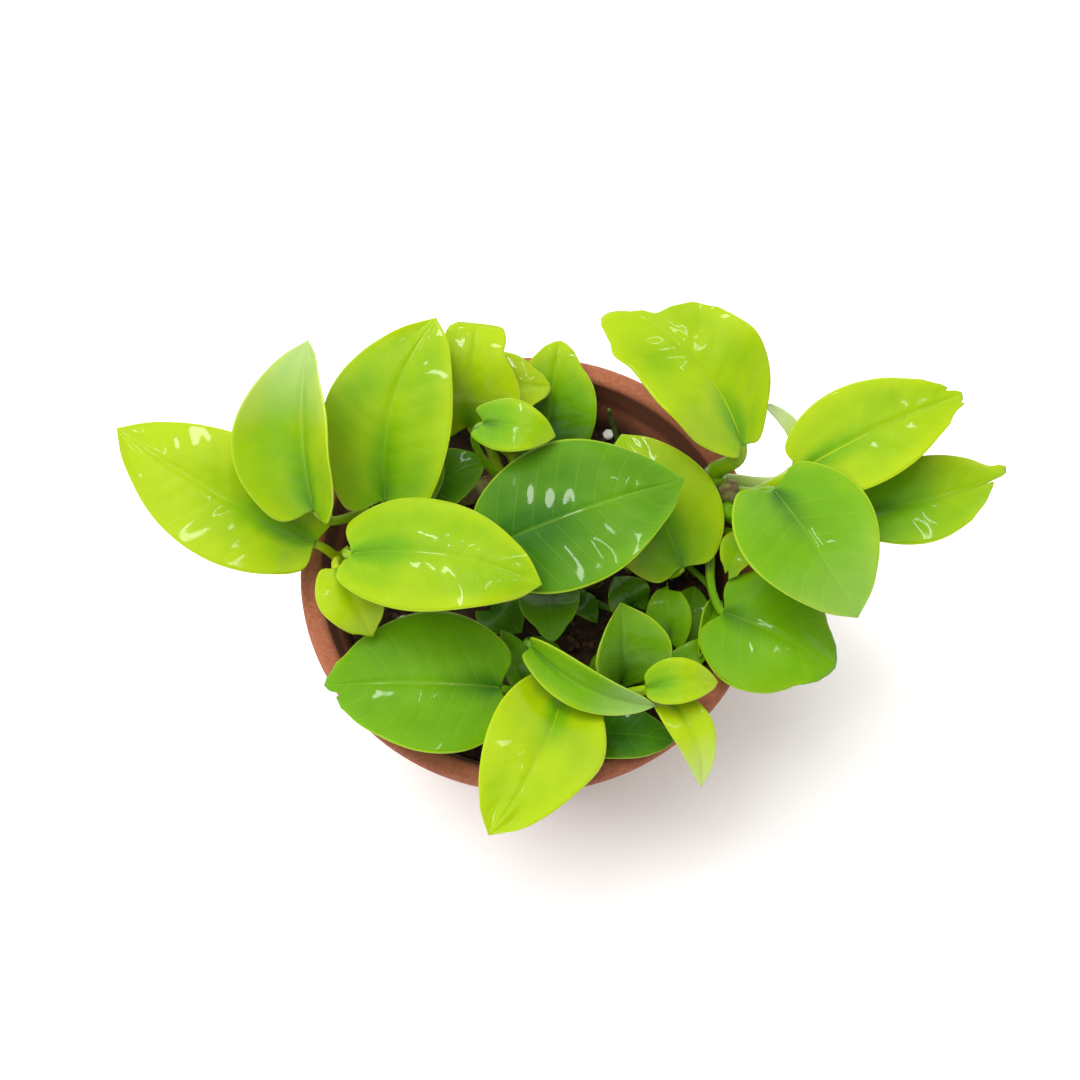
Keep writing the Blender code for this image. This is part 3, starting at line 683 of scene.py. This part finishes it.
def leaf_sections(node):
    """A packed leaf's sections from its foot to its tip: rings of eight points, and the tip."""
    bm = bmesh.new()
    bm.from_mesh(frame["nodes"][node].data)
    bmesh.ops.remove_doubles(bm, verts=bm.verts[:], dist=1e-6)
    for pole in bm.verts:
        seen = {pole}
        layers = [[pole]]
        while layers[-1]:
            following = []
            for vert in layers[-1]:
                for edge in vert.link_edges:
                    other = edge.other_vert(vert)
                    if other not in seen:
                        seen.add(other)
                        following.append(other)
            layers.append(following)
        layers.pop()
        if len(layers) == 15 and all(len(layer) == 8 for layer in layers[1:]):
            break
    tip = np.array(pole.co)
    rings = []
    for layer in layers[1:-1]:
        members = set(layer)
        walk = [layer[0]]
        while len(walk) < 8:
            for edge in walk[-1].link_edges:
                other = edge.other_vert(walk[-1])
                if other in members and other not in walk:
                    walk.append(other)
                    break
        rings.append(np.array([vert.co for vert in walk]))
    foot = np.array([vert.co for vert in layers[-1]])
    bm.free()

    first = rings[0]
    apart = np.linalg.norm(first[:, None] - first[None], axis=2)
    a = np.unravel_index(apart.argmax(), apart.shape)[0]
    ring = np.roll(first, -a, axis=0)
    if ring[2][2] < ring[6][2]:
        ring = np.roll(ring[::-1], 1, axis=0)
    ahead = tip - ring.mean(0)
    left = np.cross(ring[2] - ring[6], ahead)
    if np.dot(ring[0] - ring[4], left) < 0:
        ring = np.roll(ring[::-1], 5, axis=0)
    ordered = [ring]
    for ring in rings[1:]:
        tries = [np.roll(turned, shift, axis=0) for turned in (ring, ring[::-1]) for shift in range(8)]
        ordered.append(min(tries, key=lambda r: np.abs(r - ordered[-1]).sum()))
    last = ordered[-1]
    taken = []
    for point in last - last.mean(0):
        free = [i for i in range(8) if i not in taken]
        taken.append(min(free, key=lambda i: np.linalg.norm(foot[i] - foot.mean(0) - point)))
    ordered.append(foot[taken])
    return np.array(ordered[::-1]), tip


# Where a packed leaf's sections lie along its blade, and the rails across each of them
STATIONS = np.array((0.0, 0.04, 0.12, 0.24, 0.38, 0.52, 0.66, 0.80, 0.92, 1.0))
RAILS = (1, 0.5, 0, -0.5, -1)
STALK_SECTIONS = 6
BLADE_THICKNESS = 0.0008
STALK_SIDES = 14
STALK_STEPS = 44


def open_out(rails, run, half_width):
    """Spreads a rolled leaf's rails level, to both sides of its midrib."""
    level = np.array((-run[1], run[0], 0.0)) / math.hypot(run[0], run[1])
    side = 1.0 if np.dot(rails[4][0] - rails[4][4], level) >= 0 else -1.0
    for i, station in enumerate(STATIONS):
        swell_out = math.sin(math.pi * (0.12 + 0.80 * station)) ** 0.6
        for k, v in enumerate(RAILS):
            rails[i][k] = rails[i][2] + level * (side * v * half_width * swell_out)
            rails[i][k][2] += 0.9 * MM * v * v * swell_out


def leaf_rails(short_name, stalk_end, blade_rings, tip):
    """Five lines along a blade: its margins, its quarters and its midrib, and their stations."""
    joint = stalk_end.mean(0)
    rails = np.zeros((10, 5, 3))
    for i, ring in enumerate(blade_rings, 1):
        rails[i] = (ring[0], (ring[1] + ring[7]) / 2, (ring[2] + ring[6]) / 2,
                    (ring[3] + ring[5]) / 2, ring[4])
    stalk_radius = np.linalg.norm(stalk_end - joint, axis=1).mean()
    sideways = rails[1][0] - rails[1][4]
    sideways /= np.linalg.norm(sideways)
    for k, v in enumerate(RAILS):
        rails[0][k] = joint + sideways * v * stalk_radius * 0.7
    torn = TORN_ENDS.get(short_name)
    stations = STATIONS
    if torn:
        onward = tip - rails[8][2]
        for k in range(5):
            rails[9][k] = rails[8][k] + onward + (rails[8][2] - rails[8][k]) * 0.15
    else:
        rails[9] = tip
    fuller = FULLER.get(short_name, 1)
    rails = rails[:, 2:3] + (rails - rails[:, 2:3]) * fuller
    if short_name in OPENED:
        open_out(rails, tip - joint, OPENED[short_name])
    if short_name in PLAIN_TIPS:
        for k in (0, 1, 3, 4):
            rails[9][k] = rails[9][2] + (rails[7][k] - rails[7][2]) * 0.75
            rails[8][k] = rails[8][2] + (rails[7][k] - rails[7][2]) * 0.9
    if torn:
        rails = np.concatenate((rails, rails[9:] + onward * 3.1))
        stations = np.append(STATIONS, 1.25)
    return rails, stations


def blade_grid(short_name, rails, stations, rows, columns):
    """A blade's middle surface: its points, and how far along and across it each one lies."""
    s = np.linspace(0, 1, rows + 1)
    v = np.linspace(1, -1, columns + 1)
    torn = TORN_ENDS.get(short_name)
    if torn:
        ends = np.interp(-v, [-p[0] for p in torn[::-1]], [p[1] for p in torn[::-1]])
    else:
        ends = np.full(len(v), 0.998)
    grid = np.zeros((rows + 1, columns + 1, 3))
    u_grid = np.zeros((rows + 1, columns + 1))
    for j, place in enumerate(v):
        u = (s ** 1.25) * ends[j]
        fine = catmull(stations ** 0.5, rails, u ** 0.5)
        t = abs(place)
        inner, outer = (fine[:, 1], fine[:, 0]) if place >= 0 else (fine[:, 3], fine[:, 4])
        rib_line = fine[:, 2]
        grid[:, j] = (rib_line * (1 - t) * (1 - 2 * t) + inner * 4 * t * (1 - t) + outer * t * (2 * t - 1))
        u_grid[:, j] = u
    return grid, u_grid, np.broadcast_to(v, u_grid.shape)


def blade_normals(grid):
    """The upward normal at each point of a blade, and the one at its middle."""
    rows, columns = grid.shape[0] - 1, grid.shape[1] - 1
    normal = np.cross(np.gradient(grid, axis=1), np.gradient(grid, axis=0))
    size = np.linalg.norm(normal, axis=2, keepdims=True)
    normal /= np.maximum(size, 1e-12)
    if normal[rows // 2, columns // 2][2] < 0:
        normal = -normal
    steady = normal[rows // 2, columns // 2]
    weak = (size[..., 0] < 1e-10)[..., None]
    return np.where(weak, steady, normal), steady


def blade_relief(short_name, grid, u_grid, v_grid, rib_grid, half, chance):
    """How far each point of a blade is lifted off its even surface, and how far its base lobes reach back."""
    t_grid = np.abs(v_grid)
    open_part = np.clip(u_grid / 0.12, 0, 1) * np.clip((1 - u_grid) / 0.10, 0, 1)
    open_part = np.maximum(open_part, 0.3 * (u_grid > 0.9) * (short_name in TORN_ENDS))
    scale = min(1.0, half / 0.016)
    quilt = 0.00006 * scale * np.cos(2 * np.pi * rib_grid + np.pi)
    quilt *= np.clip(t_grid / 0.12, 0, 1) * (1 - np.clip((t_grid - 0.5) / 0.45, 0, 1))
    groove = -0.00055 * scale * np.exp(-(t_grid * half / 0.0011) ** 2)
    wave = sum(amp * np.sin(freq * u_grid * math.pi + chance.uniform(0, 6.3)
                            + np.sign(v_grid) * chance.uniform(0, 2))
               for amp, freq in ((0.0008, 2.3), (0.0004, 4.3)))
    wave = wave * scale * t_grid ** 2.5
    dents = sum(0.00034 * np.sin(chance.uniform(-190, 190) * grid[..., 0]
                                 + chance.uniform(-190, 190) * grid[..., 1]
                                 + chance.uniform(0, 6.3)) for _ in range(5))
    dents = dents * scale * np.clip(t_grid * 3, 0.2, 1)
    calm = CALM.get(short_name, 1.0)
    lift = open_part * (quilt + (wave + dents) * calm) + groove * np.clip((1 - u_grid) / 0.15, 0, 1)
    lobes = 0.0021 * scale * t_grid ** 1.3 * np.exp(-((np.sqrt(u_grid) - 0.17) / 0.17) ** 2)
    lobe_share = 0.3 if short_name in SMALL_LOBES else calm
    lobes = lobes * np.clip(np.sqrt(u_grid) / 0.08, 0, 1) * lobe_share
    return lift, lobes


def blade_shell(upper, lower):
    """A closed skin from a blade's upper and lower points."""
    rows, columns = upper.shape[0] - 1, upper.shape[1] - 1
    points = [tuple(p) for p in upper.reshape(-1, 3)] + [tuple(p) for p in lower.reshape(-1, 3)]
    wide = columns + 1
    layer = (rows + 1) * wide
    faces = []
    for i in range(rows):
        for j in range(columns):
            a, b = i * wide + j, i * wide + j + 1
            faces.append((a, b, b + wide, a + wide))
            faces.append((layer + a, layer + a + wide, layer + b + wide, layer + b))
    rim = list(range(wide)) + [i * wide + columns for i in range(1, rows + 1)]
    rim += [rows * wide + j for j in range(columns - 1, -1, -1)]
    rim += [i * wide for i in range(rows - 1, 0, -1)]
    for a, b in zip(rim, rim[1:] + rim[:1]):
        faces.append((a, layer + a, layer + b, b))
    return points, faces, layer


def stalk_and_keel(short_name, stalk_rings, rails, stations, steady):
    """The line and thickness of a stalk that runs on under its blade as the midrib."""
    centres = stalk_rings.mean(1)
    radii = np.linalg.norm(stalk_rings - centres[:, None], axis=2).mean(1)
    radii = radii * THICK_STALKS.get(short_name, 1)
    centres[-1] -= steady * radii[-1] * 1.0
    centres[-2] -= steady * radii[-1] * 0.5
    keel_u = np.array((0.06, 0.16, 0.3, 0.48, 0.66))
    keel = catmull(stations ** 0.5, rails[:, 2], keel_u ** 0.5)
    keel_radii = radii[-1] * np.linspace(0.75, 0.22, len(keel_u))
    sink = np.linspace(0.8, 0.3, len(keel_u))[:, None]
    keel = keel - steady * (0.0004 + keel_radii[:, None] * sink)
    return np.concatenate((centres, keel)), np.concatenate((radii, keel_radii))


def grow_leaf(short_name, seed):
    """A leaf's own skin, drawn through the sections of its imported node."""
    node = "leaf_" + short_name
    rings, tip = leaf_sections(node)
    stalk_rings, blade_rings = rings[:STALK_SECTIONS], rings[STALK_SECTIONS:]
    joint = stalk_rings[-1].mean(0)
    rails, stations = leaf_rails(short_name, stalk_rings[-1], blade_rings, tip)
    length = np.linalg.norm(tip - joint)
    half = max(np.linalg.norm(rails[i][0] - rails[i][4]) for i in range(10)) / 2
    rows = int(min(84, max(34, length / 0.0009)))
    columns = 2 * int(min(20, max(9, half / 0.0011)))
    grid, u_grid, v_grid = blade_grid(short_name, rails, stations, rows, columns)
    normal, steady = blade_normals(grid)
    t_grid = np.abs(v_grid)
    side_veins = max(4.0, length / 0.0062)
    rib_grid = u_grid * side_veins - 1.7 * t_grid ** 1.15 * min(1.0, half / 0.017)
    lift, lobes = blade_relief(short_name, grid, u_grid, v_grid, rib_grid, half, random.Random(seed))
    ahead = (tip - joint) / length
    grid = grid + normal * lift[..., None] - ahead * lobes[..., None]
    thick = BLADE_THICKNESS * (1 - 0.55 * t_grid ** 5) * np.clip(0.45 + (1 - u_grid) * 2, 0, 1)
    upper = grid + normal * thick[..., None] / 2
    lower = grid - normal * thick[..., None] / 2
    points, faces, layer = blade_shell(upper, lower)
    marks = {"along": list(u_grid.ravel()) * 2, "across": list(v_grid.ravel()) * 2,
             "rib": list(rib_grid.ravel()) * 2, "below": [0.0] * layer + [1.0] * layer,
             "blade": [1.0] * (2 * layer)}

    centres, radii = stalk_and_keel(short_name, stalk_rings, rails, stations, steady)
    reach = np.concatenate(([0], np.cumsum(np.linalg.norm(np.diff(centres, axis=0), axis=1))))
    fine_reach = np.linspace(0, reach[-1], STALK_STEPS)
    tube_points, tube_faces = tube(catmull(reach, centres, fine_reach),
                                   np.interp(fine_reach, reach, radii), STALK_SIDES)
    first = len(points)
    points += tube_points
    faces += [tuple(first + corner for corner in face) for face in tube_faces]
    marks["along"] += [0.35 + 0.25 * min(1, r / reach[5]) for r in fine_reach for _ in range(STALK_SIDES)]
    for mark, value in (("across", 0.5), ("rib", 0.4), ("below", 0.0), ("blade", 0.0)):
        marks[mark] += [value] * len(tube_points)
    # The deep mark: each leaf's age and, on leaves low in the pot or under others, painted shade.
    base_darkness, tip_darkness = LEAF_AGE_AND_SHADE[short_name]
    marks["deep"] = [base_darkness + (tip_darkness - base_darkness) * u for u in marks["along"]]
    base_pale, tip_pale = BLEACHED.get(short_name, (0.0, 0.0))
    marks["pale"] = [base_pale + (tip_pale - base_pale) * max(0.0, u * 2 - 1) for u in marks["along"]]

    leaf = mesh_piece("grown_" + short_name, points, faces, skin)
    for name, values in marks.items():
        attribute = leaf.data.attributes.new(name, "FLOAT", "POINT")
        attribute.data.foreach_set("value", np.array(values, np.float32))
    bm = bmesh.new()
    bm.from_mesh(leaf.data)
    bmesh.ops.remove_doubles(bm, verts=bm.verts[:], dist=1e-7)
    bmesh.ops.recalc_face_normals(bm, faces=bm.faces[:])
    bm.to_mesh(leaf.data)
    bm.free()
    leaf.data.shade_smooth()
    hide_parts(node)
    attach(leaf, "root")


FIRST_SEED = 20
for number, short_name in enumerate(LEAF_AGE_AND_SHADE):
    grow_leaf(short_name, FIRST_SEED + number)

# The bare stalk: a leaf that has died back leaves its dark green stalk standing by the wall.
bare = merged_copy("bare_stalk", "leafless_stalk")
smooth = bare.modifiers.new("smooth", "SUBSURF")
smooth.levels = smooth.render_levels = 2
apply_all(bare)
old_stalk, old_shader, start, place = new_finish("old_stalk", Roughness=0.45)
streaks = speckle(start, place, 0.002, 3.0)
old_tone = streaks.step(0.3, 0.7).blend((0.03, 0.06, 0.01), (0.07, 0.12, 0.02))
old_bump = start.node("Bump", {}, {"Strength": 0.3, "Distance": 0.0003, "Height": streaks}, "Normal")
dress(old_stalk, old_shader, Base_Color=old_tone, Normal=old_bump)
bare.data.materials.clear()
bare.data.materials.append(old_stalk)
bare.data.shade_smooth()
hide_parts("bare_stalk")
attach(bare, "root")
